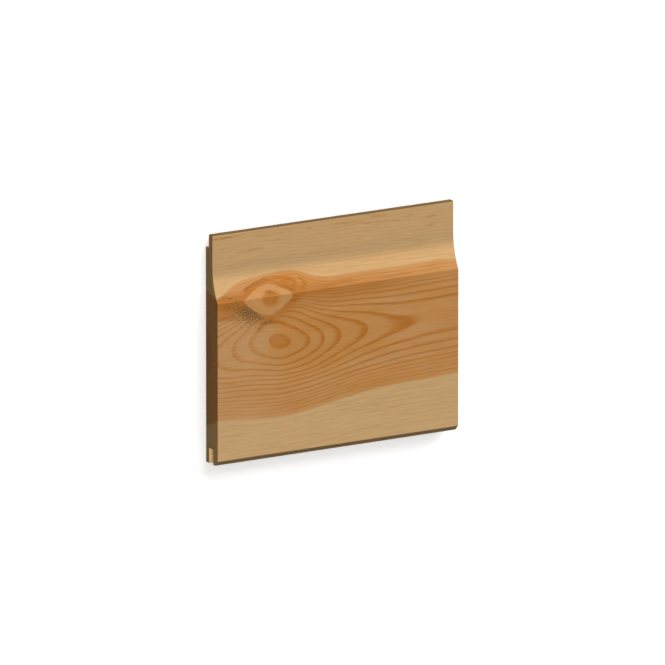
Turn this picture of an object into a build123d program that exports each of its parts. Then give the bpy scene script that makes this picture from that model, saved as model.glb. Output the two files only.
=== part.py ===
"""Shiplap weatherboard: a short length of tongued and grooved softwood cladding.

The board is one moulded piece. It lies on its back with the show face up: X runs along the
grain, Y runs from the grooved foot to the tongued head, and Z is the thickness. The origin is
under the middle of the board, on the plane of its back.
"""

import os

from build123d import *

# Blank, in millimetres
board_length = 169.0
board_width = 144.0
board_thickness = 14.5

# Tongue along the head, flush with the thin front and rebated from the back
tongue_thickness = 4.4
tongue_length = 8.6
rebate_depth = 3.8

# Groove along the foot, which takes the tongue of the next board down
groove_back_clearance = 0.1
groove_front_clearance = 0.5
groove_end_clearance = 0.9

# Show face: a flat from the foot up to the crease, then a scoop that thins the head
crease_height = 102.3
scoop_height = 22.0
drip_chamfer = 3.2

# Eased corners
arris_radius = 0.3
tongue_tip_radius = 0.8
groove_corner_radius = 0.5

# Levels of the section, worked out from the sizes above
foot = -board_width / 2
head = board_width / 2
shoulder = head - tongue_length
crease = foot + crease_height
scoop_top = crease + scoop_height
head_thickness = rebate_depth + tongue_thickness
groove_back = rebate_depth - groove_back_clearance
groove_front = head_thickness + groove_front_clearance
groove_depth = tongue_length + groove_end_clearance

with BuildPart() as weatherboard:
    with BuildSketch(Plane.YZ) as section:
        with BuildLine() as outline:
            back_and_tongue = Polyline(
                (foot, 0),
                (shoulder, 0),
                (shoulder, rebate_depth),
                (head, rebate_depth),
                (head, head_thickness),
                (scoop_top, head_thickness),
            )
            scoop = TangentArc(
                back_and_tongue @ 1,
                (crease, board_thickness),
                tangent=back_and_tongue % 1,
            )
            Polyline(
                scoop @ 1,
                (foot + drip_chamfer, board_thickness),
                (foot, board_thickness - drip_chamfer),
                (foot, 0),
            )
        make_face()
        with Locations((foot, (groove_back + groove_front) / 2)):
            Rectangle(2 * groove_depth, groove_front - groove_back, mode=Mode.SUBTRACT)

        # Corners are rounded in turn, because each fillet makes new vertices
        groove_floor = foot + groove_depth
        tongue_tip = section.vertices().group_by(Axis.X)[-1]
        fillet(tongue_tip, tongue_tip_radius)
        groove_corners = section.vertices().filter_by_position(Axis.X, groove_floor, groove_floor)
        fillet(groove_corners, groove_corner_radius)
        lip_ends = section.vertices().group_by(Axis.X)[0]
        fillet(lip_ends, arris_radius)
        face_edges = section.vertices().group_by(Axis.Y)[-1]
        fillet(face_edges, arris_radius)
        back_shoulder = section.vertices().group_by(Axis.Y)[0].sort_by(Axis.X)[-1]
        fillet(back_shoulder, arris_radius)
    extrude(amount=board_length / 2, both=True)

weatherboard.part.label = "weatherboard"

os.makedirs("parts", exist_ok=True)
export_step(weatherboard.part, "parts/weatherboard.step")
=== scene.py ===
"""Looks of a shiplap weatherboard: a short planed length of knotty pine cladding.

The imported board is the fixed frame, and one dressed piece stands for it. That piece has the same
moulded section, swept along the grain, and every vertex knows where it lay in the log: which year
ring it is on, how deep in the heartwood, and how near the knot. These readings give the grain its
slight relief and the finishes their colours, so the rings run on from the faces into the ends.

Lengths are in millimetres until the finished mesh is scaled to the frame's metres. Along the board
they are measured from the left end, up it from the grooved foot, and out of it from the back.
"""

import logging
import math
from collections.abc import Iterable
from dataclasses import dataclass
from enum import Enum
from typing import Optional, Union

import bmesh
import bpy
import numpy as np
from mathutils import Matrix, Vector


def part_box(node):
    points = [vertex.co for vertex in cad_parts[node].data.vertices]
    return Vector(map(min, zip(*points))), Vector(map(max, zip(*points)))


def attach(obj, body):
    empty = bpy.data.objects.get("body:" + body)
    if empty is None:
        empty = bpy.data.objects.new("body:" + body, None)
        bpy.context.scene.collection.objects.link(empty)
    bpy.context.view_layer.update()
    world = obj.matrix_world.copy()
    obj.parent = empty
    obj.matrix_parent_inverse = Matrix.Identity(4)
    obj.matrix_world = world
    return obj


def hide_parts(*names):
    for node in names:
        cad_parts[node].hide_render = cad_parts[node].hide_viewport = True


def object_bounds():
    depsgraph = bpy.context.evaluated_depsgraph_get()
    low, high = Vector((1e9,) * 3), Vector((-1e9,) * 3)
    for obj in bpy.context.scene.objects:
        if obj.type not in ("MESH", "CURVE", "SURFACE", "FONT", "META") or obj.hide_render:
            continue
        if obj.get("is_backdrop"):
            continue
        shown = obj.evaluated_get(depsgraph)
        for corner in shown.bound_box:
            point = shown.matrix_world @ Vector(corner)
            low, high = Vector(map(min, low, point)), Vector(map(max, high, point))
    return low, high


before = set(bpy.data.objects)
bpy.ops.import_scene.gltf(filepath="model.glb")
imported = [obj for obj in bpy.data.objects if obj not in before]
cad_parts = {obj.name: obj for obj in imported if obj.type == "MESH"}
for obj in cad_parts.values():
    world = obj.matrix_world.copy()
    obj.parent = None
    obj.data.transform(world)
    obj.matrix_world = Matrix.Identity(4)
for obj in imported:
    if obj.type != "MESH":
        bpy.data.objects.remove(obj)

# A millimetre in the frame's metres
MM = 0.001
# Lengths that differ by less than this are the same
TOUCH = 0.001
# The least part of a normal that lies the way its face looks
FACING = 0.5
# The same for a face that looks squarely that way
SQUARE = 0.999
NODE = "weatherboard"
BODY = "root"
PIECE = "planed_board"
WHITE = (1.0, 1.0, 1.0, 1.0)

Socket = bpy.types.NodeSocket
Value = Union[Socket, float, tuple[float, ...]]
Colour = tuple[float, float, float, float]
Triple = tuple[float, float, float]
Span = tuple[float, float]
Stations = tuple[Span, ...]

log = logging.getLogger("weatherboard")


def smooth_step(low: float, high: float, value: np.ndarray) -> np.ndarray:
    """Eases from 0 at one level to 1 at another.

    Args:
        low: the level that gives 0.
        high: the level that gives 1.
        value: the levels to ease.

    Returns:
        The eased shares, from 0 to 1.
    """
    share = np.clip((value - low) / (high - low), 0.0, 1.0)
    return share * share * (3.0 - 2.0 * share)


def smooth_curve(stations: Stations, at: np.ndarray) -> np.ndarray:
    """Follows a smooth line through a few stations.

    Args:
        stations: the (place, level) pairs, in order of place.
        at: the places to read.

    Returns:
        The level at each place, held level past the first and last station.
    """
    places, levels = np.array(stations, float).T
    slopes = np.gradient(levels, places)
    at = np.clip(at, places[0], places[-1])
    span = np.clip(np.searchsorted(places, at) - 1, 0, len(places) - 2)
    width = places[span + 1] - places[span]
    s = (at - places[span]) / width
    start = (1.0 + 2.0 * s) * (1.0 - s) ** 2 * levels[span] + s * (1.0 - s) ** 2 * width * slopes[span]
    end = s * s * (3.0 - 2.0 * s) * levels[span + 1] + s * s * (s - 1.0) * width * slopes[span + 1]
    return start + end


def paint(red: int, green: int, blue: int) -> Colour:
    """Turns a colour as seen, from 0 to 255 a channel, into the linear colour that a shader takes.

    Args:
        red: the red channel.
        green: the green channel.
        blue: the blue channel.

    Returns:
        Linear red, green and blue, and a full alpha.
    """
    channels = [value / 255.0 for value in (red, green, blue)]
    linear = [c / 12.92 if c <= 0.04045 else ((c + 0.055) / 1.055) ** 2.4 for c in channels]
    return (*linear, 1.0)


class Cut(Enum):
    """How a surface of the board lies to the grain, or what painted shade or light it takes, in the order of
    the piece's material slots.
    """

    FACE = 0
    EDGE = 1
    END = 2
    GROOVE = 3
    TONGUE = 4


@dataclass(frozen=True)
class Places:
    """Places in the board: along it, up it, out from its back and behind its show face."""

    along: np.ndarray
    up: np.ndarray
    out: np.ndarray
    behind: np.ndarray


@dataclass(frozen=True)
class Corner:
    """One corner of the section, and the radius that eases it."""

    up: float
    out: float
    radius: float = 0.0


@dataclass(frozen=True)
class Section:
    """The moulded section of the board: tongue, scoop, flat face, drip chamfer and groove."""

    width: float
    thickness: float
    tongue_thickness: float = 4.4
    tongue_length: float = 8.6
    rebate_depth: float = 3.8
    groove_back_clearance: float = 0.1
    groove_front_clearance: float = 0.5
    groove_end_clearance: float = 0.9
    crease_height: float = 102.3
    scoop_height: float = 22.0
    drip_chamfer: float = 3.2
    arris_radius: float = 0.3
    tongue_tip_radius: float = 0.8
    groove_corner_radius: float = 0.5
    # Painted light along the scoop by height: at 1 it is drawn fully brighter, and below 0 it takes painted
    # shade where it runs out into the head.
    scoop_painted_light_levels: Stations = (
        (102.3, 0.3), (105.0, 0.4), (108.4, 0.65), (111.0, 0.88), (113.2, 1.0), (115.0, 0.96),
        (116.8, 0.5), (118.6, -0.12), (120.4, -0.33), (122.3, -0.42), (124.2, -0.27), (126.0, -0.05),
        (127.5, 0.0),
    )
    scoop_start: float = 0.05
    scoop_skin: float = 0.5
    easing_steps: int = 4
    fine_pitch: float = 0.5
    plain_pitch: float = 2.0

    @property
    def head_thickness(self) -> float:
        """The thickness of the thin head, which the tongue is flush with."""
        return self.rebate_depth + self.tongue_thickness

    @property
    def scoop_top(self) -> float:
        """The height where the scoop runs out into the flat head."""
        return self.crease_height + self.scoop_height

    @property
    def scoop_radius(self) -> float:
        """The radius of the scoop, which is tangent to the flat head."""
        fall = self.thickness - self.head_thickness
        return (self.scoop_height**2 + fall**2) / (2.0 * fall)

    @property
    def groove_back(self) -> float:
        """How far out the groove's back wall lies."""
        return self.rebate_depth - self.groove_back_clearance

    @property
    def groove_front(self) -> float:
        """How far out the groove's front wall lies."""
        return self.head_thickness + self.groove_front_clearance

    @property
    def groove_floor(self) -> float:
        """How high the groove reaches."""
        return self.tongue_length + self.groove_end_clearance

    def scoop_painted_light_share(self, places: Places) -> np.ndarray:
        """Gives the scoop's share of painted light, which draws it brighter than the rest of the board.

        Args:
            places: the places to tell.

        Returns:
            The share of painted light: 1 along the middle of the scoop, under 0 as painted shade where it
                runs out into the head, and 0 elsewhere.
        """
        over_crease = places.up > self.crease_height + self.scoop_start
        in_front = places.out > self.head_thickness - self.scoop_skin
        return smooth_curve(self.scoop_painted_light_levels, places.up) * (over_crease & in_front)

    def back_corners(self) -> list[Corner]:
        """Sets out the back, the rebate, the tongue and the flat head.

        Returns:
            The corners from the back of the foot, over the tongue, to the top of the scoop.
        """
        shoulder = self.width - self.tongue_length
        return [
            Corner(0.0, 0.0, self.arris_radius),
            Corner(shoulder, 0.0, self.arris_radius),
            Corner(shoulder, self.rebate_depth),
            Corner(self.width, self.rebate_depth, self.tongue_tip_radius),
            Corner(self.width, self.head_thickness, self.tongue_tip_radius),
            Corner(self.scoop_top, self.head_thickness),
        ]

    def foot_corners(self) -> list[Corner]:
        """Sets out the foot with its drip chamfer and groove.

        Returns:
            The corners from the drip chamfer, round the groove, to the lip at the back.
        """
        return [
            Corner(self.drip_chamfer, self.thickness, self.arris_radius),
            Corner(0.0, self.thickness - self.drip_chamfer, self.arris_radius),
            Corner(0.0, self.groove_front, self.arris_radius),
            Corner(self.groove_floor, self.groove_front, self.groove_corner_radius),
            Corner(self.groove_floor, self.groove_back, self.groove_corner_radius),
            Corner(0.0, self.groove_back, self.arris_radius),
        ]

    def draw(self, bm: bmesh.types.BMesh) -> None:
        """Draws the closed outline as wire, at the left end of the board.

        Args:
            bm: the empty mesh that takes the outline.
        """
        back, foot = self.back_corners(), self.foot_corners()
        upper = [bm.verts.new((0.0, corner.up, corner.out)) for corner in back]
        self.join(bm, upper)
        crease = self.turn_scoop(bm, upper[-1])
        lower = [bm.verts.new((0.0, corner.up, corner.out)) for corner in foot]
        self.join(bm, [crease, *lower, upper[0]])
        radii = [*(corner.radius for corner in back), self.arris_radius, *(corner.radius for corner in foot)]
        for vertex, radius in zip([*upper, crease, *lower], radii):
            if radius:
                self.ease(bm, vertex, radius)
        self.divide(bm)

    def join(self, bm: bmesh.types.BMesh, vertices: list[bmesh.types.BMVert]) -> None:
        """Joins vertices in a row with straight edges.

        Args:
            bm: the mesh that holds the outline.
            vertices: the vertices, in order.
        """
        for start, end in zip(vertices, vertices[1:]):
            bm.edges.new((start, end))

    def turn_scoop(self, bm: bmesh.types.BMesh, start: bmesh.types.BMVert) -> bmesh.types.BMVert:
        """Turns the scoop's arc from the flat head down to the crease.

        Args:
            bm: the mesh that holds the outline.
            start: the vertex at the top of the scoop.

        Returns:
            The vertex at the crease.
        """
        centre = (0.0, self.scoop_top, self.head_thickness + self.scoop_radius)
        angle = math.asin(self.scoop_height / self.scoop_radius)
        steps = round(angle * self.scoop_radius / self.fine_pitch)
        turned = bmesh.ops.spin(
            bm, geom=[start], cent=centre, axis=(1.0, 0.0, 0.0), angle=-angle, steps=steps
        )
        return next(item for item in turned["geom_last"] if isinstance(item, bmesh.types.BMVert))

    def ease(self, bm: bmesh.types.BMesh, vertex: bmesh.types.BMVert, radius: float) -> None:
        """Rounds one corner of the outline.

        Args:
            bm: the mesh that holds the outline.
            vertex: the corner to round.
            radius: the radius of the rounding.
        """
        before, after = (edge.other_vert(vertex).co - vertex.co for edge in vertex.link_edges)
        turn = math.pi - before.angle(after)
        bmesh.ops.bevel(
            bm,
            geom=[vertex],
            offset=radius * math.tan(turn / 2.0),
            offset_type="OFFSET",
            segments=self.easing_steps,
            profile=0.5,
            affect="VERTICES",
            material=-1,
        )

    def divide(self, bm: bmesh.types.BMesh) -> None:
        """Divides the long runs of the outline, more finely on the show face.

        Args:
            bm: the mesh that holds the outline.
        """
        for edge in list(bm.edges):
            middle = (edge.verts[0].co + edge.verts[1].co) / 2.0
            shown = middle.z > self.head_thickness - TOUCH
            pitch = self.fine_pitch if shown else self.plain_pitch
            cuts = round(edge.calc_length() / pitch) - 1
            if cuts > 0:
                bmesh.ops.subdivide_edges(bm, edges=[edge], cuts=cuts)


@dataclass(frozen=True)
class KnotShape:
    """A rounded lozenge about the branch, in its size on the plane of the show face."""

    along: float
    up: float
    left: float
    right: float
    down: float
    above: float
    lean: float = 0.0
    squareness: float = 1.4


@dataclass(frozen=True)
class Patch:
    """A soft patch of the show face, strongest in its middle, that fades with depth."""

    along: float
    up: float
    half_length: float
    half_width: float
    slope: float = 0.0
    weight: float = 1.0
    skin: float = 8.0

    def strength(self, places: Places) -> np.ndarray:
        """Measures the patch.

        Args:
            places: where it is measured.

        Returns:
            The strength of the patch, from 0 to its weight.
        """
        turn = math.radians(self.slope)
        run, rise = places.along - self.along, places.up - self.up
        lengthwise = (run * math.cos(turn) + rise * math.sin(turn)) / self.half_length
        across = (rise * math.cos(turn) - run * math.sin(turn)) / self.half_width
        soft = np.exp(-(lengthwise**2) - across**2)
        return self.weight * soft * smooth_step(self.skin, 0.0, places.behind)


@dataclass(frozen=True)
class Drift(Patch):
    """A patch, right through the board, whose fibres come from lower down by its weight."""

    skin: float = 30.0


@dataclass(frozen=True)
class Seam:
    """A soft line along a path on the show face, that fades with depth."""

    path: Stations
    half_width: float
    weight: float
    skin: float = 20.0

    def strength(self, places: Places) -> np.ndarray:
        """Measures the line.

        Args:
            places: where it is measured.

        Returns:
            The strength of the line, from 0 to its weight.
        """
        nearest = np.full_like(places.along, np.inf)
        for (start, start_up), (end, end_up) in zip(self.path, self.path[1:]):
            run, rise = end - start, end_up - start_up
            aside, over = places.along - start, places.up - start_up
            share = np.clip((aside * run + over * rise) / (run**2 + rise**2), 0.0, 1.0)
            nearest = np.minimum(nearest, np.hypot(aside - share * run, over - share * rise))
        line = np.exp(-((nearest / self.half_width) ** 2))
        return self.weight * line * smooth_step(self.skin, 0.0, places.behind)


def total(marks: Iterable[Union[Patch, Seam]], places: Places) -> np.ndarray:
    """Adds up the strengths of marks at places in the board."""
    return sum(mark.strength(places) for mark in marks)


@dataclass(frozen=True)
class Branch:
    """A branch that grew out from the pith and shows as a knot on the crease."""

    skin: KnotShape = KnotShape(36.0, 101.9, 17.0, 16.6, 11.4, 14.8)
    collar: KnotShape = KnotShape(36.0, 100.4, 17.0, 16.5, 10.0, 16.5, lean=0.55)
    core: KnotShape = KnotShape(37.5, 101.5, 6.6, 6.6, 5.6, 7.0, squareness=2.0)
    pith: KnotShape = KnotShape(36.4, 107.3, 2.8, 2.8, 2.0, 2.0, squareness=2.0)
    core_edge: Span = (1.35, 0.6)
    core_weight: float = 0.85
    pith_edge: Span = (1.6, 0.4)
    pith_weight: float = 0.5
    collar_edge: Span = (1.8, 1.05)
    parting_above: float = 2.4
    parting_below: float = 10.0
    lift: float = 9.5
    lift_reach: float = 1.9
    lift_upward: float = 1.5
    lift_fade: float = 1.3
    ring_spread: float = 14.0
    halo_edge: Span = (1.75, 1.05)
    halo_weight: float = 0.7
    halo_loss_above: float = 0.42
    stain_edge: Span = (0.93, 1.06)
    stains: tuple[Patch, ...] = (
        Patch(22.0, 94.2, 12.5, 4.8, -27.0),
        Patch(18.5, 89.5, 10.0, 4.6, -28.0, weight=0.4),
        Patch(35.5, 86.7, 3.4, 0.9, weight=0.8),
        Patch(53.5, 98.0, 3.0, 0.9, weight=0.8),
        Patch(7.5, 104.8, 4.0, 1.2, weight=0.6),
        Patch(7.0, 99.4, 2.5, 1.2, weight=0.8),
    )
    resin: tuple[Patch, ...] = (
        Patch(7.0, 100.5, 14.0, 6.5, weight=1.15),
        Patch(5.0, 92.6, 7.0, 1.4, weight=0.7),
        Patch(20.0, 91.5, 9.0, 3.2, -27.0, weight=0.3),
        Patch(66.0, 102.0, 24.0, 4.5, -2.0, weight=0.66),
        Patch(110.0, 100.0, 26.0, 5.5, weight=0.46),
        Patch(74.0, 94.4, 17.0, 3.2, weight=0.34),
        Patch(128.0, 104.6, 18.0, 2.4, weight=0.16),
        Patch(8.0, 51.0, 7.0, 3.0, weight=0.2),
        Patch(17.0, 44.5, 10.0, 4.5, weight=0.16),
        Patch(2.5, 105.2, 5.5, 2.2, weight=0.6),
        Patch(126.5, 73.6, 9.0, 3.2, weight=0.4),
        Patch(85.0, 107.0, 50.0, 8.0, weight=0.23, skin=20.0),
        Patch(22.0, 108.0, 16.0, 7.0, weight=0.3, skin=20.0),
        Patch(49.5, 109.0, 4.5, 2.2, weight=0.6, skin=20.0),
    )
    resin_bands: tuple[Seam, ...] = (
        Seam(((21.4, 107.5), (25.2, 109.0), (29.9, 110.4), (35.1, 111.5), (40.6, 112.1),
              (45.5, 112.0), (50.3, 111.4), (54.1, 110.2), (55.8, 108.7), (55.2, 107.2),
              (53.5, 105.9), (51.2, 104.9)), 1.1, 0.75),
        Seam(((59.3, 110.7), (61.8, 108.6), (62.5, 106.9), (60.7, 105.1), (58.7, 103.4)), 1.1, 0.65),
        Seam(((28.5, 83.0), (31.0, 85.8), (36.0, 86.6), (42.0, 85.8), (47.0, 84.0)), 1.2, 0.75),
        Seam(((74.0, 103.6), (84.0, 104.6), (95.0, 105.3)), 1.0, 0.3),
    )
    bark_seams: tuple[Seam, ...] = (
        Seam(((20.2, 107.6), (22.7, 109.1), (26.5, 110.6), (30.1, 111.6), (33.3, 112.4),
              (36.8, 112.9)), 0.5, 0.9),
        Seam(((39.7, 110.1), (42.5, 109.2), (45.6, 107.9), (49.2, 106.4), (51.7, 105.0),
              (53.9, 104.0)), 0.45, 0.6),
        Seam(((35.2, 105.9), (37.4, 105.1), (39.6, 104.0)), 0.6, 0.6),
    )


@dataclass(frozen=True)
class PineLog:
    """The log that the board was sawn from, read at any place in the board.

    The pith runs behind the board, and the year rings are shells about it. It comes nearest to the
    show face under the eye of the figure, and sinks away from there to both ends.
    """

    face: float
    pith_depth: Stations = (
        (0.0, 26.6), (11.0, 25.0), (23.0, 22.7), (32.0, 20.95), (42.5, 19.8), (53.0, 20.9),
        (63.0, 22.7), (81.0, 26.4), (103.0, 29.3), (122.0, 30.7), (137.0, 31.05), (169.0, 31.5),
    )
    pith_line: Stations = (
        (0.0, 70.0), (10.0, 71.8), (22.0, 73.8), (36.0, 74.2), (52.0, 72.6), (66.0, 71.4),
        (80.0, 71.4), (100.0, 72.5), (120.0, 73.5), (140.0, 74.5), (169.0, 75.8),
    )
    outer_line: Stations = ((0.0, 72.6), (85.0, 74.5), (100.0, 75.7), (142.0, 76.7), (169.0, 77.2))
    outer_from: float = 14.0
    outer_to: float = 40.0
    drifts: tuple[Drift, ...] = (
        Drift(33.0, 87.0, 12.0, 5.0, weight=3.4),
        Drift(56.0, 93.0, 11.0, 6.0, weight=2.4),
        Drift(125.0, 88.0, 55.0, 10.0, weight=1.2),
        Drift(98.0, 110.0, 42.0, 10.0, weight=1.7),
        Drift(59.0, 112.0, 7.0, 5.0, weight=1.2),
        Drift(18.0, 110.5, 12.0, 6.0, weight=1.7),
        Drift(2.0, 108.5, 12.0, 5.0, weight=-1.1),
        Drift(42.0, 114.5, 9.0, 5.0, weight=-0.8),
        Drift(79.0, 112.0, 12.0, 6.0, weight=-0.8),
        Drift(169.0, 108.5, 9.0, 5.0, weight=-1.3),
        Drift(10.0, 57.0, 16.0, 14.0, weight=-2.2),
    )
    ring_radii: tuple[float, ...] = (
        20.35, 22.7, 25.0, 27.1, 29.3, 31.05, 33.2, 35.6, 38.5, 40.8, 42.8, 44.5, 46.6, 48.5,
    )
    inner_ring: float = 2.1
    inner_rings: int = 10
    outer_ring: float = 2.9
    outer_rings: int = 39
    head_squeeze: float = 0.28
    head_reach: float = 33.0
    head_power: float = 2.5
    head_from: float = 114.0
    head_to: float = 126.0
    head_rise: Stations = (
        (0.0, 0.3), (33.0, 1.2), (60.0, 1.4), (85.0, 0.9), (130.0, -1.2), (169.0, -2.2),
    )
    head_depth: float = 26.0
    heart_radius: float = 51.0
    least_growth: float = 0.05
    least_reach: float = 0.01
    branch: Branch = Branch()
    streaks: tuple[Seam, ...] = (
        Seam(((0.0, 141.3), (21.0, 141.6)), 0.5, 1.0),
        Seam(((8.5, 123.2), (15.0, 123.4)), 0.5, 0.6),
        Seam(((20.0, 123.4), (27.0, 123.6)), 0.5, 0.5),
        Seam(((3.0, 128.8), (7.5, 128.9)), 0.4, 0.5),
        Seam(((12.5, 128.3), (16.5, 128.5)), 0.4, 0.5),
        Seam(((29.6, 139.4), (50.7, 139.4)), 0.45, 0.85),
        Seam(((21.2, 131.4), (34.5, 131.7)), 0.45, 0.85),
        Seam(((66.0, 139.8), (69.0, 139.8)), 0.45, 0.85),
        Seam(((85.9, 140.1), (105.6, 138.7)), 0.8, 0.75),
        Seam(((105.6, 137.8), (130.9, 136.6)), 0.5, 0.95),
        Seam(((110.5, 141.5), (121.4, 141.0)), 0.5, 0.95),
        Seam(((135.0, 139.2), (140.0, 139.0)), 0.5, 0.95),
        Seam(((149.8, 136.3), (156.2, 136.3)), 0.55, 1.0),
        Seam(((149.8, 130.5), (155.5, 130.8)), 0.45, 0.85),
        Seam(((100.0, 128.7), (104.0, 128.7)), 0.45, 0.85),
    )
    dark_streak: Seam = Seam(((1.5, 141.3), (13.2, 141.3)), 0.45, 1.0)

    def reach(self, shape: KnotShape, places: Places) -> tuple[np.ndarray, np.ndarray, np.ndarray]:
        """Measures how far places lie from the branch, as a share of its own size there.

        Args:
            shape: the lozenge to measure by.
            places: the places to measure.

        Returns:
            The reach, which is 1 on the lozenge, the part of it that lies upward, and the rise over
            the middle of the branch.
        """
        at = np.array([shape.along])
        root_out = self.face - smooth_curve(self.pith_depth, at)[0]
        root_up = smooth_curve(self.pith_line, at)[0]
        grown = np.maximum((places.out - root_out) / (self.face - root_out), self.least_growth)
        rise = places.up - root_up - (shape.up - root_up) * grown
        run = places.along - shape.along - shape.lean * np.maximum(rise, 0.0)
        aside = run / (grown * np.where(run < 0.0, shape.left, shape.right))
        upward = rise / (grown * np.where(rise < 0.0, shape.down, shape.above))
        power = shape.squareness
        reach = (np.abs(aside) ** power + np.abs(upward) ** power) ** (1.0 / power)
        return reach, upward / np.maximum(reach, self.least_reach), rise

    def parted(self, places: Places) -> tuple[np.ndarray, np.ndarray]:
        """Follows the fibres where they part round the branch.

        Args:
            places: the places to read.

        Returns:
            The height that each fibre has away from the branch, and its reach from the branch.
        """
        branch = self.branch
        flow, upward, rise = self.reach(branch.collar, places)
        skin = self.reach(branch.skin, places)[0]
        flow = flow + np.maximum(skin - flow, 0.0) * smooth_step(*branch.collar_edge, skin)
        flow = np.maximum(flow, 1.0)
        bent = np.where(rise > 0.0, flow**-branch.parting_above, flow**-branch.parting_below)
        close = np.maximum(branch.lift_reach - flow, 0.0) / (branch.lift_reach - 1.0)
        lifted = branch.lift * np.clip(upward, 0.0, 1.0) ** branch.lift_upward * close**branch.lift_fade
        return places.up - rise * bent + lifted, flow

    def ring_number(self, radius: np.ndarray) -> np.ndarray:
        """Counts the year rings out to a radius.

        Args:
            radius: the distances from the pith.

        Returns:
            The ring numbers, whole where a dark latewood line lies.
        """
        known = np.array(self.ring_radii)
        inner = known[0] - self.inner_ring * np.arange(self.inner_rings, 0, -1)
        outer = known[-1] + self.outer_ring * np.arange(1, self.outer_rings + 1)
        radii = np.concatenate([inner, known, outer])
        return np.interp(radius, radii, np.arange(len(radii), dtype=float) - len(inner))

    def read(self, places: Places) -> dict[str, np.ndarray]:
        """Reads the log at places in the board.

        Args:
            places: the places to read.

        Returns:
            The readings by name, one value or vector for each place.
        """
        along = places.along
        fibre, flow = self.parted(places)
        fibre = fibre - total(self.drifts, places)
        head = smooth_step(self.head_from, self.head_to, places.up)
        fibre = fibre + (places.up - smooth_curve(self.head_rise, along) - fibre) * head
        inner = smooth_curve(self.pith_line, along)
        outer = smooth_curve(self.outer_line, along)
        axis = inner + (outer - inner) * smooth_step(self.outer_from, self.outer_to, inner - fibre)
        across = fibre - axis
        squeeze = self.head_squeeze * np.minimum(np.abs(across) / self.head_reach, 1.0) ** self.head_power
        across = np.where(across > 0.0, across * (1.0 + squeeze), across)
        depth = smooth_curve(self.pith_depth, along)
        deep = depth + (self.head_depth - depth) * head - places.behind
        radius = np.hypot(deep, across)
        knot = self.read_knot(places)
        knot_ring = self.branch.ring_spread * np.minimum(knot["knot"] - 1.0, 0.0)
        return {
            "grain": np.column_stack([along, fibre + knot_ring, places.out]),
            "ring": self.ring_number(radius),
            "heart": self.heart_radius - radius,
            "collar": flow,
            "ray": np.degrees(np.arctan2(across, deep)),
            "streak": total(self.streaks, places),
            **knot,
        }

    def read_knot(self, places: Places) -> dict[str, np.ndarray]:
        """Reads the knot, with the resin and the stain round it.

        Args:
            places: the places to read.

        Returns:
            The knot's readings by name, one value for each place.
        """
        branch = self.branch
        skin, upward, _ = self.reach(branch.skin, places)
        core = smooth_step(*branch.core_edge, self.reach(branch.core, places)[0])
        pith = smooth_step(*branch.pith_edge, self.reach(branch.pith, places)[0])
        halo = branch.halo_weight - branch.halo_loss_above * np.clip(upward, 0.0, 1.0)
        halo = smooth_step(*branch.halo_edge, skin) * halo
        zones = total((*branch.resin, *branch.resin_bands), places)
        stain = np.minimum(total(branch.stains, places), 1.0)
        return {
            "seam": total((*branch.bark_seams, self.dark_streak), places),
            "knot": skin,
            "core": branch.core_weight * core + branch.pith_weight * pith,
            "resin": np.minimum(halo + zones, 1.0),
            "stain": stain * smooth_step(*branch.stain_edge, skin),
        }


@dataclass(frozen=True)
class Ramp:
    """An eased change: two levels of a number, and the results that they give."""

    low: float
    high: float
    start: float = 0.0
    end: float = 1.0


@dataclass(frozen=True)
class Noise:
    """A cloudy noise: its repeats along each axis, and how many finer layers it has."""

    stretch: Triple
    detail: float


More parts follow.
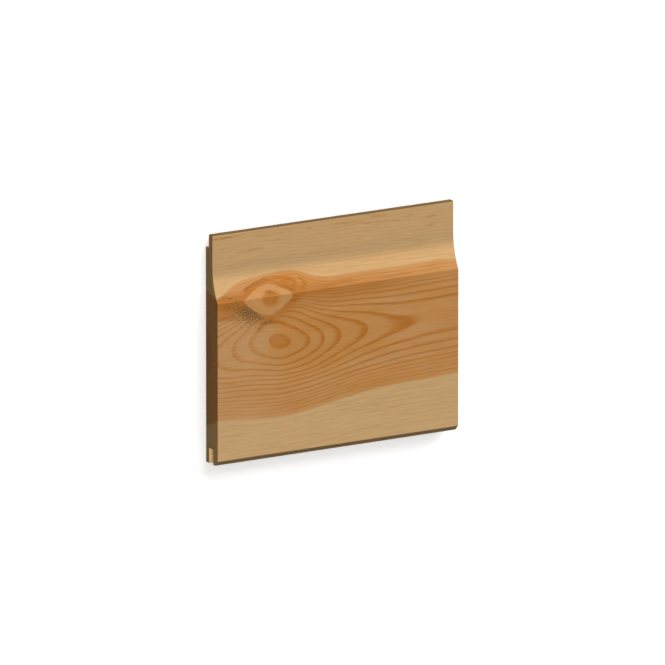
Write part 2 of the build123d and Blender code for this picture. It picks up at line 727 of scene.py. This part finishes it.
class NodeBench:
    """Lays the shader nodes of one material and joins them."""

    def __init__(self, name: str) -> None:
        """Starts a material with no nodes.

        Args:
            name: the material's name.
        """
        self.material = bpy.data.materials.new(name)
        self.material.use_nodes = True
        self.tree = self.material.node_tree
        self.tree.nodes.clear()

    def feed(self, socket: Socket, value: Value) -> None:
        """Joins an input to another node's output, or sets its value.

        Args:
            socket: the input to feed.
            value: the output or the value.
        """
        if isinstance(value, Socket):
            self.tree.links.new(value, socket)
        else:
            socket.default_value = value

    def node(
        self, kind: str, inputs: Optional[dict[Union[str, int], Value]] = None, **settings: Union[str, bool]
    ) -> bpy.types.ShaderNode:
        """Adds a node, sets it up and feeds its inputs.

        Args:
            kind: the node's type.
            inputs: values or sockets by the input's name or place.
            settings: the node's own settings.

        Returns:
            The new node.
        """
        made = self.tree.nodes.new(kind)
        for name, setting in settings.items():
            setattr(made, name, setting)
        for name, value in (inputs or {}).items():
            self.feed(made.inputs[name], value)
        return made

    def reading(self, name: str, part: str = "Fac") -> Socket:
        """Reads one of the board's own readings, as a number or as another part such as Vector."""
        return self.node("ShaderNodeAttribute", attribute_name=name).outputs[part]

    def math(self, operation: str, first: Value, second: Value = 0.0, clamp: bool = False) -> Socket:
        """Works out one sum on numbers.

        Args:
            operation: the sum to do.
            first: its first number.
            second: its second number.
            clamp: whether the result is kept from 0 to 1.

        Returns:
            The result.
        """
        made = self.node("ShaderNodeMath", {0: first, 1: second}, operation=operation, use_clamp=clamp)
        return made.outputs[0]

    def product(self, first: Value, *others: Value) -> Socket:
        """Multiplies numbers.

        Args:
            first: the first number.
            others: the numbers that it is multiplied by.

        Returns:
            The product.
        """
        for other in others:
            first = self.math("MULTIPLY", first, other)
        return first

    def vector(self, operation: str, first: Value, second: Value) -> Socket:
        """Works out one sum on vectors or colours, channel by channel."""
        return self.node("ShaderNodeVectorMath", {0: first, 1: second}, operation=operation).outputs[0]

    def scaled(self, vector: Value, share: Value) -> Socket:
        """Scales a vector or a colour by one number."""
        return self.node("ShaderNodeVectorMath", {0: vector, "Scale": share}, operation="SCALE").outputs[0]

    def ease(
        self, value: Value, ramp: Ramp, start: Optional[Value] = None, end: Optional[Value] = None
    ) -> Socket:
        """Eases a number from one level to another.

        Args:
            value: the number to ease.
            ramp: the two levels, and the results there.
            start: a result at the low level in place of the ramp's own.
            end: a result at the high level in place of the ramp's own.

        Returns:
            The eased number.
        """
        levels = {
            "Value": value,
            "From Min": ramp.low,
            "From Max": ramp.high,
            "To Min": ramp.start if start is None else start,
            "To Max": ramp.end if end is None else end,
        }
        return self.node("ShaderNodeMapRange", levels, interpolation_type="SMOOTHSTEP").outputs["Result"]

    def mix(self, share: Value, first: Value, second: Value) -> Socket:
        """Mixes two colours.

        Args:
            share: how much of the second colour goes in.
            first: the first colour.
            second: the second colour.

        Returns:
            The mixed colour.
        """
        made = self.node("ShaderNodeMix", data_type="RGBA")
        inputs = {socket.identifier: socket for socket in made.inputs}
        for identifier, value in (("Factor_Float", share), ("A_Color", first), ("B_Color", second)):
            self.feed(inputs[identifier], value)
        return next(socket for socket in made.outputs if socket.identifier == "Result_Color")

    def noise(self, vector: Socket, noise: Noise) -> Socket:
        """Adds cloudy noise.

        Args:
            vector: where it is read.
            noise: its repeats and layers.

        Returns:
            The noise, from 0 to 1 and mostly near a half.
        """
        placed = self.node("ShaderNodeMapping", {"Vector": vector, "Scale": noise.stretch}).outputs[0]
        inputs = {"Vector": placed, "Scale": 1.0, "Detail": noise.detail}
        return self.node("ShaderNodeTexNoise", inputs).outputs[0]


@dataclass(frozen=True)
class PinePalette:
    """The colours of the pine as seen in even light."""

    sap_pale: Colour = paint(192, 157, 110)
    sap_deep: Colour = paint(186, 150, 103)
    sap_fleck: Colour = paint(179, 115, 64)
    heart_pale: Colour = paint(184, 138, 90)
    heart_deep: Colour = paint(180, 126, 66)
    latewood: Colour = paint(165, 99, 28)
    resin: Colour = paint(164, 100, 32)
    knot_pale: Colour = paint(184, 134, 82)
    knot_core: Colour = paint(168, 103, 34)
    bark: Colour = paint(74, 70, 55)
    bark_line: Colour = paint(104, 72, 36)


@dataclass(frozen=True)
class PineFigure:
    """How the pine is drawn: the scale of its noises and how strongly each mark shows.

    Noises on the grain repeat by the millimetre, and the mottle, specks and saw marks by the metre.
    """

    fibre: Noise = Noise((0.06, 3.2, 0.6), 3.0)
    streak: Noise = Noise((0.014, 0.7, 0.25), 3.0)
    cloud: Noise = Noise((0.03, 0.1, 0.1), 2.0)
    by_heart: Ramp = Ramp(0.0, 1.0)
    heart_ragged: float = 1.6
    heart_edge: Ramp = Ramp(-0.7, 0.7)
    sap_streaks: Ramp = Ramp(0.3, 0.7, 0.0, 0.6)
    sap_headward: Ramp = Ramp(90.0, 125.0, 0.0, 0.7)
    heart_clouds: Ramp = Ramp(0.3, 0.7, 0.15, 0.7)
    heart_rightward: Ramp = Ramp(7.0, 42.0, -0.52, 0.1)
    heart_inward: Ramp = Ramp(7.0, 3.0)
    heart_inmost: Ramp = Ramp(28.0, 62.0, -0.22, 0.5)
    ring_noise: Noise = Noise((0.035, 0.1, 0.1), 0.0)
    ring_wander: Ramp = Ramp(0.2, 0.8, -0.08, 0.08)
    ring_lead: float = 0.14
    ring_rise: Ramp = Ramp(0.42, 0.86)
    ring_sharpness: float = 1.5
    ring_fall: Ramp = Ramp(0.88, 1.0, 1.0, 0.0)
    ring_leftmost: Ramp = Ramp(1.0, 3.5, 0.48, 0.66)
    ring_rightward: Ramp = Ramp(18.0, 60.0, end=1.08)
    ring_far_end: Ramp = Ramp(115.0, 165.0, 1.0, 0.78)
    ring_outward: Ramp = Ramp(6.0, 13.0, 1.0, 0.62)
    ring_patches: Ramp = Ramp(0.3, 0.7, 0.7, 1.1)
    ring_near_knot: Ramp = Ramp(1.9, 1.1, 1.0, 1.8)
    ring_in_eye: Ramp = Ramp(0.03, -0.09, 0.0, 0.68)
    ring_in_sap: float = 0.42
    ring_in_heart: float = 0.85
    resin_share: float = 0.92
    knot_mottle: Noise = Noise((260.0, 420.0, 420.0), 3.0)
    knot_uneven: Ramp = Ramp(0.25, 0.75, -0.03, 0.03)
    knot_rings: float = 5.0
    knot_ring_half: float = 0.5
    knot_ring_tone: Ramp = Ramp(0.1, 0.5, 0.0, 0.35)
    knot_core_uneven: float = 5.0
    knot_edge: Ramp = Ramp(1.07, 0.94)
    speck: Noise = Noise((1250.0, 1250.0, 1250.0), 0.0)
    speck_level: float = 0.74
    speck_spread: float = 0.27
    speck_edge: Ramp = Ramp(-0.02, 0.05)
    speck_fade: Ramp = Ramp(0.05, 0.15)
    speck_share: float = 0.84
    stain_haze: float = 0.07
    seam_breaks: Ramp = Ramp(0.3, 0.6)
    fleck_noise: Noise = Noise((0.08, 1.6, 0.4), 1.0)
    fleck_edge: Ramp = Ramp(0.67, 0.75)
    fleck_by_heart: Ramp = Ramp(0.0, 1.0, 0.3, 0.1)
    fleck_break_noise: Noise = Noise((0.35, 1.2, 0.4), 1.0)
    fleck_breaks: Ramp = Ramp(0.25, 0.55)
    fibre_shade: Ramp = Ramp(0.25, 0.75, 0.935, 1.095)
    canal: Noise = Noise((0.05, 4.4, 4.4), 0.0)
    canal_edge: Ramp = Ramp(0.58, 0.72)
    canal_by_heart: Ramp = Ramp(0.0, 1.0, 0.1, 0.07)
    ray: Noise = Noise((2.2, 0.12, 1.0), 2.0)
    ray_shade: Ramp = Ramp(0.3, 0.7, 0.9, 1.1)
    saw_mark: Noise = Noise((0.0, 90.0, 2600.0), 2.0)
    saw_slant: float = 72.0
    saw_shade: Ramp = Ramp(0.3, 0.7, 0.95, 1.05)
    late_shine: float = 0.1
    fibre_height: float = 0.6
    late_height: float = 0.4


@dataclass(frozen=True)
class PineFinish:
    """The finish of one kind of surface on the board."""

    name: str
    cut: Cut
    # The tone scales the wood's colour; on the ends, the foot's edges and the tongue's tip it also holds
    # painted shade, and in the groove painted light.
    tone: Triple
    roughness: float
    relief: float
    specular: float = 0.12
    # Painted light: how much brighter, channel by channel, the scoop is drawn at its full share.
    scoop_painted_light_tint: Triple = (0.19, 0.15, 0.10)
    palette: PinePalette = PinePalette()
    figure: PineFigure = PineFigure()

    def material(self) -> bpy.types.Material:
        """Builds the material of this finish."""
        return PineShader(self).draw()


class PineShader(NodeBench):
    """Draws one finish of the pine: its wood, rings, knot, stain, streaks and tone, with the painted light
    and shade that the tone and the scoop carry.
    """

    def __init__(self, finish: PineFinish) -> None:
        """Lays the nodes that the drawing reads.

        Args:
            finish: the finish to draw.
        """
        super().__init__(finish.name)
        self.finish = finish
        self.figure = finish.figure
        self.palette = finish.palette
        self.place = self.node("ShaderNodeTexCoord").outputs["Object"]
        self.grain = self.reading("grain", "Vector")
        self.along, self.height, _ = self.node("ShaderNodeSeparateXYZ", {0: self.grain}).outputs
        self.fibre = self.noise(self.grain, self.figure.fibre)
        self.streak = self.noise(self.grain, self.figure.streak)
        self.heart = self.heart_share()
        self.late = self.latewood_share()

    def draw(self) -> bpy.types.Material:
        """Draws the wood, mark by mark, and ends it in one shader.

        Returns:
            The finished material.
        """
        figure, finish = self.figure, self.finish
        colour = self.plain_wood()
        for mark in (self.lines, self.knot, self.stain, self.flecks, self.toned):
            colour = mark(colour)
        relief = self.fibre
        if finish.cut is Cut.END:
            relief = self.saw_marks()
            colour = self.scaled(colour, self.rays())
            colour = self.scaled(colour, self.ease(relief, figure.saw_shade))
        shine = Ramp(0.0, 1.0, finish.roughness, finish.roughness - figure.late_shine)
        fine, rings = self.product(relief, figure.fibre_height), self.product(self.late, figure.late_height)
        bump = {"Strength": 1.0, "Distance": finish.relief * MM, "Height": self.math("ADD", fine, rings)}
        inputs = {
            "Base Color": colour,
            "Roughness": self.ease(self.late, shine),
            "Normal": self.node("ShaderNodeBump", bump).outputs[0],
            "Specular IOR Level": finish.specular,
        }
        shader = self.node("ShaderNodeBsdfPrincipled", inputs)
        self.node("ShaderNodeOutputMaterial", {"Surface": shader.outputs[0]})
        return self.material

    def heart_share(self) -> Socket:
        """Gives the share of heartwood, which ends along a slightly ragged line.

        Returns:
            The share, from 0 in the sapwood to 1 in the heartwood.
        """
        ragged = self.product(self.math("SUBTRACT", self.fibre, 0.5), self.figure.heart_ragged)
        return self.ease(self.math("ADD", self.reading("heart"), ragged), self.figure.heart_edge)

    def latewood_share(self) -> Socket:
        """Gives the darkness of the year rings, which wander a little and come and go.

        Returns:
            The darkness, from 0 to 1.
        """
        figure = self.figure
        wander = self.ease(self.noise(self.grain, figure.ring_noise), figure.ring_wander)
        ring = self.math("ADD", self.reading("ring"), wander)
        part = self.math("FRACT", self.math("SUBTRACT", ring, figure.ring_lead))
        rise = self.math("POWER", self.ease(part, figure.ring_rise), figure.ring_sharpness)
        line = self.product(rise, self.ease(part, figure.ring_fall))
        leftmost = self.ease(ring, figure.ring_leftmost)
        patchy = self.ease(self.streak, figure.ring_patches)
        strength = self.product(
            self.ease(self.along, figure.ring_rightward, start=leftmost),
            self.ease(ring, figure.ring_outward),
            patchy,
            self.ease(self.reading("collar"), figure.ring_near_knot),
            self.ease(self.along, figure.ring_far_end),
        )
        late = self.math("MULTIPLY", line, strength, clamp=True)
        return self.math("MAXIMUM", late, self.product(self.ease(ring, figure.ring_in_eye), patchy))

    def plain_wood(self) -> Socket:
        """Colours the sapwood and the heartwood, without the rings.

        Returns:
            The colour.
        """
        figure, palette = self.figure, self.palette
        headward = self.ease(self.height, figure.sap_headward)
        sap_tone = self.math("ADD", self.ease(self.streak, figure.sap_streaks), headward)
        sap = self.mix(sap_tone, palette.sap_pale, palette.sap_deep)
        clouds = self.ease(self.noise(self.grain, figure.cloud), figure.heart_clouds)
        core_tone = self.math("ADD", clouds, self.ease(self.along, figure.heart_rightward))
        inmost = self.ease(self.along, figure.heart_inmost)
        inward = self.ease(self.reading("ring"), figure.heart_inward, end=inmost)
        core_tone = self.math("ADD", core_tone, inward, clamp=True)
        core = self.mix(core_tone, palette.heart_pale, palette.heart_deep)
        return self.mix(self.heart, sap, core)

    def lines(self, colour: Socket) -> Socket:
        """Draws the year rings, strongly in the heartwood and faintly in the sapwood.

        Args:
            colour: the wood's colour so far.

        Returns:
            The colour with the rings.
        """
        faint = self.product(self.late, self.late, self.figure.ring_in_sap)
        strong = self.product(self.late, self.figure.ring_in_heart)
        share = self.ease(self.heart, self.figure.by_heart, faint, strong)
        return self.mix(share, colour, self.palette.latewood)

    def knot(self, colour: Socket) -> Socket:
        """Draws the knot and the resin-dark wood round it.

        Args:
            colour: the wood's colour so far.

        Returns:
            The colour with the knot.
        """
        figure, palette = self.figure, self.palette
        resin = self.product(self.reading("resin"), self.heart, figure.resin_share)
        colour = self.mix(resin, colour, palette.resin)
        uneven = self.ease(self.noise(self.place, figure.knot_mottle), figure.knot_uneven)
        reach = self.math("ADD", self.reading("knot"), uneven)
        rings = self.math("PINGPONG", self.product(reach, figure.knot_rings), figure.knot_ring_half)
        pale = self.mix(self.ease(rings, figure.knot_ring_tone), palette.knot_pale, palette.heart_deep)
        mottled = self.product(uneven, figure.knot_core_uneven)
        core = self.math("ADD", self.reading("core"), mottled, clamp=True)
        wood = self.mix(core, pale, palette.knot_core)
        return self.mix(self.ease(reach, figure.knot_edge), colour, wood)

    def stain(self, colour: Socket) -> Socket:
        """Specks the wood beside the knot with dark bark stain, and draws the seams of bark.

        Args:
            colour: the wood's colour so far.

        Returns:
            The colour with the stain.
        """
        figure = self.figure
        speck = self.noise(self.place, figure.speck)
        strength = self.reading("stain")
        level = self.math("SUBTRACT", figure.speck_level, self.product(strength, figure.speck_spread))
        dark = self.ease(self.math("SUBTRACT", speck, level), figure.speck_edge)
        dark = self.product(dark, self.ease(strength, figure.speck_fade), figure.speck_share)
        share = self.math("MAXIMUM", self.product(strength, figure.stain_haze), dark)
        colour = self.mix(share, colour, self.palette.bark)
        broken = self.product(self.reading("seam"), self.ease(speck, figure.seam_breaks))
        return self.mix(broken, colour, self.palette.bark_line)

    def flecks(self, colour: Socket) -> Socket:
        """Adds the thin reddish resin streaks of the sapwood.

        Args:
            colour: the wood's colour so far.

        Returns:
            The colour with the streaks.
        """
        figure = self.figure
        thin = self.ease(self.noise(self.grain, figure.fleck_noise), figure.fleck_edge)
        stray = self.product(thin, self.ease(self.heart, figure.fleck_by_heart))
        broken = self.ease(self.noise(self.grain, figure.fleck_break_noise), figure.fleck_breaks)
        share = self.math("MAXIMUM", stray, self.product(self.reading("streak"), broken))
        return self.mix(share, colour, self.palette.sap_fleck)

    def toned(self, colour: Socket) -> Socket:
        """Gives the colour this finish's own tone, which holds painted shade or light on some cuts, shades
        it by the fine fibres, and brightens the scoop with painted light.

        Args:
            colour: the wood's colour so far.

        Returns:
            The toned colour.
        """
        figure, finish = self.figure, self.finish
        # Painted light: the scoop is drawn brighter by its tint times its share, and darker as painted shade
        # where the share dips below 0 near the head.
        lift = self.vector("ADD", self.scaled(finish.scoop_painted_light_tint, self.reading("scoop")), WHITE[:3])
        lifted = self.vector("MULTIPLY", self.vector("MULTIPLY", colour, finish.tone), lift)
        canal = self.ease(self.noise(self.grain, figure.canal), figure.canal_edge)
        canal = self.product(canal, self.ease(self.heart, figure.canal_by_heart))
        shade = self.math("SUBTRACT", self.ease(self.fibre, figure.fibre_shade), canal)
        return self.scaled(lifted, shade)

    def rays(self) -> Socket:
        """Gives the brightness of the fine rays that cross the rings on the sawn ends.

        Returns:
            The brightness, about 1.
        """
        radial = self.node("ShaderNodeCombineXYZ", {0: self.reading("ray"), 1: self.reading("heart")})
        return self.ease(self.noise(radial.outputs[0], self.figure.ray), self.figure.ray_shade)

    def saw_marks(self) -> Socket:
        """Gives the fine slanting scratches that the saw left on the ends.

        Returns:
            The height of the scratches, from 0 to 1 and mostly near a half.
        """
        turn = (math.radians(self.figure.saw_slant), 0.0, 0.0)
        slant = self.node("ShaderNodeMapping", {"Vector": self.place, "Rotation": turn})
        return self.noise(slant.outputs[0], self.figure.saw_mark)


@dataclass
class Weatherboard:
    """The dressed board: its mesh, its readings of the log and its finishes."""

    length: float
    section: Section
    timber: PineLog
    column_pitch: float = 0.8
    end_pitch: float = 1.2
    end_arris: float = 0.25
    end_steps: int = 2
    end_snap: float = 0.1
    foot_facing: float = 0.4
    sharp_angle: float = 35.0
    ring_relief: float = 0.02
    relief_fade: float = 1.5
    knot_fade: Span = (1.0, 1.15)

    def build(self) -> bpy.types.Object:
        """Models and dresses the board.

        Returns:
            The finished piece, in the frame's place and metres.
        """
        bm = bmesh.new()
        self.section.draw(bm)
        self.sweep(bm)
        self.saw_ends(bm)
        self.name_cuts(bm)
        self.divide_ends(bm)
        self.divide_length(bm)
        mesh = bpy.data.meshes.new(PIECE)
        bm.to_mesh(mesh)
        bm.free()
        self.read_log(mesh)
        self.place(mesh)
        for finish in self.finishes():
            mesh.materials.append(finish.material())
        mesh.shade_smooth()
        mesh.set_sharp_from_angle(angle=math.radians(self.sharp_angle))
        board = bpy.data.objects.new(PIECE, mesh)
        bpy.context.scene.collection.objects.link(board)
        return board

    def finishes(self) -> list[PineFinish]:
        """Gives each cut of the pine its tone: darker on the ends for the end grain and for painted shade,
        painted shade on the foot's edges and the tongue's tip, and painted light in the groove.

        Returns:
            The finishes, in the order of the cuts.
        """
        end_wood = PinePalette(
            heart_pale=paint(175, 122, 48), heart_deep=paint(169, 112, 34), latewood=paint(153, 89, 14)
        )
        return [
            PineFinish("planed_pine", Cut.FACE, (0.91, 0.91, 0.91), roughness=0.62, relief=0.03),
            # Painted shade: the chamfer and the lips of the foot are drawn dark as if out of the light.
            PineFinish("painted_shade_edge_pine", Cut.EDGE, (0.345, 0.305, 0.18), roughness=0.65, relief=0.03),
            # The ends' dark tone and warmer palette are partly the end grain's own darker colour and partly
            # painted shade.
            PineFinish(
                "sawn_end_pine", Cut.END, (0.292, 0.27, 0.2), roughness=0.75, relief=0.08, palette=end_wood
            ),
            # Painted light: the inside of the groove is drawn far brighter than the wood, so that it looks
            # unshaded.
            PineFinish("painted_light_groove_pine", Cut.GROOVE, (1.6, 1.82, 2.1), roughness=0.7, relief=0.03),
            # Painted shade: the tongue's tip is drawn dark as if out of the light.
            PineFinish("tongue_tip_pine", Cut.TONGUE, (0.26, 0.235, 0.18), roughness=0.7, relief=0.03),
        ]

    def sweep(self, bm: bmesh.types.BMesh) -> None:
        """Sweeps the outline along the board and closes both ends.

        Args:
            bm: the mesh that holds the outline.
        """
        filled = bmesh.ops.edgeloop_fill(bm, edges=bm.edges[:])
        swept = bmesh.ops.extrude_face_region(bm, geom=filled["faces"])
        moved = [item for item in swept["geom"] if isinstance(item, bmesh.types.BMVert)]
        bmesh.ops.translate(bm, verts=moved, vec=(self.length, 0.0, 0.0))
        bmesh.ops.recalc_face_normals(bm, faces=bm.faces[:])

    def ends(self, bm: bmesh.types.BMesh) -> list[bmesh.types.BMFace]:
        """The faces of the two sawn ends."""
        return [face for face in bm.faces if abs(face.normal.x) > SQUARE]

    def saw_ends(self, bm: bmesh.types.BMesh) -> None:
        """Eases the sharp edges round both sawn ends.

        Args:
            bm: the swept board.
        """
        edges = {edge for face in self.ends(bm) for edge in face.edges}
        bmesh.ops.bevel(
            bm,
            geom=list(edges),
            offset=self.end_arris,
            offset_type="OFFSET",
            segments=self.end_steps,
            profile=0.5,
            affect="EDGES",
            material=-1,
        )

    def name_cuts(self, bm: bmesh.types.BMesh) -> None:
        """Gives each face of the board with its ends eased the finish of its cut."""
        for face in bm.faces:
            face.material_index = self.cut(face).value

    def cut(self, face: bmesh.types.BMFace) -> Cut:
        """Tells how a face was cut.

        Args:
            face: a face of the board with its ends eased.

        Returns:
            The cut: a sawn end, the groove, an edge of the foot, the tongue's tip or a planed face.
        """
        section = self.section
        _, up, out = face.calc_center_median()
        if abs(face.normal.x) > FACING:
            return Cut.END
        between_walls = section.groove_back <= out <= section.groove_front
        if between_walls and section.arris_radius < up <= section.groove_floor:
            return Cut.GROOVE
        if up < section.drip_chamfer and face.normal.y < -self.foot_facing:
            return Cut.EDGE
        if up > section.width - section.tongue_tip_radius and face.normal.y > FACING:
            return Cut.TONGUE
        return Cut.FACE

    def divide_ends(self, bm: bmesh.types.BMesh) -> None:
        """Divides the sawn ends into a close grid that can hold the rings, and their rim to suit.

        Args:
            bm: the board with its ends eased.
        """
        columns = round(self.section.width / self.end_pitch)
        rows = round(self.section.thickness / self.end_pitch)
        cuts = [((0.0, k * self.end_pitch, 0.0), (0.0, 1.0, 0.0)) for k in range(1, columns)]
        cuts += [((0.0, 0.0, k * self.end_pitch), (0.0, 0.0, 1.0)) for k in range(1, rows)]
        for place, across in cuts:
            faces = self.ends(bm)
            edges = {edge for face in faces for edge in face.edges}
            corners = {vertex for face in faces for vertex in face.verts}
            cut_through = [*faces, *edges, *corners]
            bmesh.ops.bisect_plane(bm, geom=cut_through, dist=self.end_snap, plane_co=place, plane_no=across)
        rim = [face for face in bm.faces if len(face.verts) > 4]
        bmesh.ops.triangulate(bm, faces=rim, quad_method="BEAUTY", ngon_method="BEAUTY")

    def divide_length(self, bm: bmesh.types.BMesh) -> None:
        """Divides the board along the grain.

        Args:
            bm: the board with its ends divided.
        """
        long_edges = [edge for edge in bm.edges if edge.calc_length() > self.length / 2.0]
        cuts = round(self.length / self.column_pitch) - 1
        bmesh.ops.subdivide_edges(bm, edges=long_edges, cuts=cuts, use_grid_fill=True)

    def vertex_vectors(self, mesh: bpy.types.Mesh, name: str) -> np.ndarray:
        """Reads a vector from each vertex.

        Args:
            mesh: the mesh to read.
            name: the vector's name, such as co.

        Returns:
            One row for each vertex.
        """
        values = np.empty(len(mesh.vertices) * 3)
        mesh.vertices.foreach_get(name, values)
        return values.reshape(-1, 3)

    def read_log(self, mesh: bpy.types.Mesh) -> None:
        """Stores what the log says at each vertex, and sinks the soft early wood a little.

        Args:
            mesh: the board, in millimetres from its left end, foot and back.
        """
        corners = self.vertex_vectors(mesh, "co")
        normals = self.vertex_vectors(mesh, "normal")
        along, up, out = corners.T
        places = Places(along, up, out, self.section.thickness - out)
        readings = self.timber.read(places)
        # The scoop's share of painted light goes in with the readings.
        readings["scoop"] = self.section.scoop_painted_light_share(places)
        for name, values in readings.items():
            kind, part = ("FLOAT_VECTOR", "vector") if values.ndim > 1 else ("FLOAT", "value")
            stored = mesh.attributes.new(name, kind, "POINT")
            stored.data.foreach_set(part, values.astype(np.float32).ravel())
        depth = self.early_wood_depth(places, readings) * (normals[:, 2] > FACING)
        mesh.vertices.foreach_set("co", (corners - normals * depth[:, None]).ravel())

    def early_wood_depth(self, places: Places, readings: dict[str, np.ndarray]) -> np.ndarray:
        """Tells how far the soft early wood of the show face sinks between the rings.

        Args:
            places: the places to tell.
            readings: the readings of the log there.

        Returns:
            The depth at each place, which is 0 at the edges and in the knot.
        """
        section = self.section
        inside = np.minimum(places.along, self.length - places.along) - self.end_arris
        inside = np.minimum(inside, places.up - section.drip_chamfer)
        inside = np.minimum(inside, section.width - section.tongue_tip_radius - places.up)
        shown = smooth_step(0.0, self.relief_fade, inside) * smooth_step(*self.knot_fade, readings["knot"])
        return self.ring_relief * shown * 0.5 * (1.0 - np.cos(2.0 * math.pi * readings["ring"]))

    def place(self, mesh: bpy.types.Mesh) -> None:
        """Scales the mesh to metres and sets it over the frame's origin.

        Args:
            mesh: the board, in millimetres from its left end, foot and back.
        """
        middle = Vector((self.length / 2.0, self.section.width / 2.0, 0.0))
        mesh.transform(Matrix.Scale(MM, 4) @ Matrix.Translation(-middle))


@dataclass(frozen=True)
class Lamp:
    """A soft, far-off studio light."""

    name: str
    direction: Triple
    strength: float
    softness: float

    def hang(self) -> None:
        """Hangs the light so that it shines from its direction."""
        light = bpy.data.lights.new(self.name, "SUN")
        light.energy = self.strength
        light.angle = math.radians(self.softness)
        lamp = bpy.data.objects.new(self.name, light)
        lamp.rotation_euler = Vector(self.direction).to_track_quat("Z", "Y").to_euler()
        bpy.context.scene.collection.objects.link(lamp)


@dataclass(frozen=True)
class FloorFinish:
    """The matt white of the studio floor, with a slight glow that keeps its shadows pale."""

    colour: Colour = (0.93, 0.93, 0.93, 1.0)
    roughness: float = 0.9
    specular: float = 0.1
    glow: float = 0.22

    def material(self) -> bpy.types.Material:
        """Builds the material of this finish.

        Returns:
            The material.
        """
        material = bpy.data.materials.new("white_floor")
        material.use_nodes = True
        inputs = material.node_tree.nodes["Principled BSDF"].inputs
        inputs["Base Color"].default_value = self.colour
        inputs["Roughness"].default_value = self.roughness
        inputs["Specular IOR Level"].default_value = self.specular
        inputs["Emission Color"].default_value = WHITE
        inputs["Emission Strength"].default_value = self.glow
        return material


@dataclass(frozen=True)
class Studio:
    """A plain white floor, a soft key light with an even fill, and the camera."""

    azimuth: float = 29.8
    elevation: float = 15.0
    frame_width: float = 0.4049
    lens: float = 1200.0
    sensor: float = 36.0
    aim_drop: float = 0.00026
    floor_reach: float = 6.0
    floor_finish: FloorFinish = FloorFinish()
    key: Lamp = Lamp("key_light", (0.28, 0.78, 0.54), 2.65, 50.0)
    front: Lamp = Lamp("front_light", (-0.40, 0.14, 0.90), 1.36, 30.0)
    fill_strength: float = 0.24

    def build(self, middle: Vector) -> None:
        """Sets up the floor, the lights and the camera.

        Args:
            middle: the middle of the board, which the camera looks at.
        """
        self.lay_floor()
        self.light()
        self.aim_camera(middle)
        bpy.context.scene.view_settings.view_transform = "Standard"

    def lay_floor(self) -> None:
        """Lays a wide white floor under the board."""
        bm = bmesh.new()
        bmesh.ops.create_grid(bm, x_segments=1, y_segments=1, size=self.floor_reach)
        mesh = bpy.data.meshes.new("studio_floor")
        bm.to_mesh(mesh)
        bm.free()
        mesh.materials.append(self.floor_finish.material())
        floor = bpy.data.objects.new("studio_floor", mesh)
        bpy.context.scene.collection.objects.link(floor)
        floor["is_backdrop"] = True

    def light(self) -> None:
        """Hangs the lamps and fills the shadows with an even white sky."""
        self.key.hang()
        self.front.hang()
        world = bpy.data.worlds.new("studio_sky")
        world.use_nodes = True
        sky = world.node_tree.nodes["Background"]
        sky.inputs["Color"].default_value = WHITE
        sky.inputs["Strength"].default_value = self.fill_strength
        bpy.context.scene.world = world

    def aim_camera(self, middle: Vector) -> None:
        """Aims a far-off camera with a very long lens, which shows almost no perspective.

        Args:
            middle: the middle of the board.
        """
        turn, lift = math.radians(self.azimuth), math.radians(self.elevation)
        right = Vector((math.cos(turn), 0.0, math.sin(turn)))
        back = Vector((-math.sin(turn) * math.cos(lift), math.sin(lift), math.cos(turn) * math.cos(lift)))
        up = back.cross(right)
        data = bpy.data.cameras.new("camera")
        data.lens = self.lens
        data.sensor_width = self.sensor
        camera = bpy.data.objects.new("camera", data)
        turned = Matrix((right, up, back)).transposed().to_4x4()
        distance = self.frame_width * self.lens / self.sensor
        place = middle - up * self.aim_drop + back * distance
        camera.matrix_world = Matrix.Translation(place) @ turned
        bpy.context.scene.collection.objects.link(camera)
        bpy.context.scene.camera = camera


def main() -> None:
    """Builds the board and the studio."""
    logging.basicConfig(level=logging.INFO, format="%(name)s: %(message)s")
    cad_low, cad_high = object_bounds()
    low, high = (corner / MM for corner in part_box(NODE))
    section = Section(width=high.y - low.y, thickness=high.z - low.z)
    timber = PineLog(face=section.thickness)
    board = Weatherboard(length=high.x - low.x, section=section, timber=timber).build()
    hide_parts(NODE)
    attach(board, BODY)
    log.info("%s: %d faces", board.name, len(board.data.polygons))
    Studio().build((cad_low + cad_high) / 2.0)


if __name__ == "__main__":
    main()
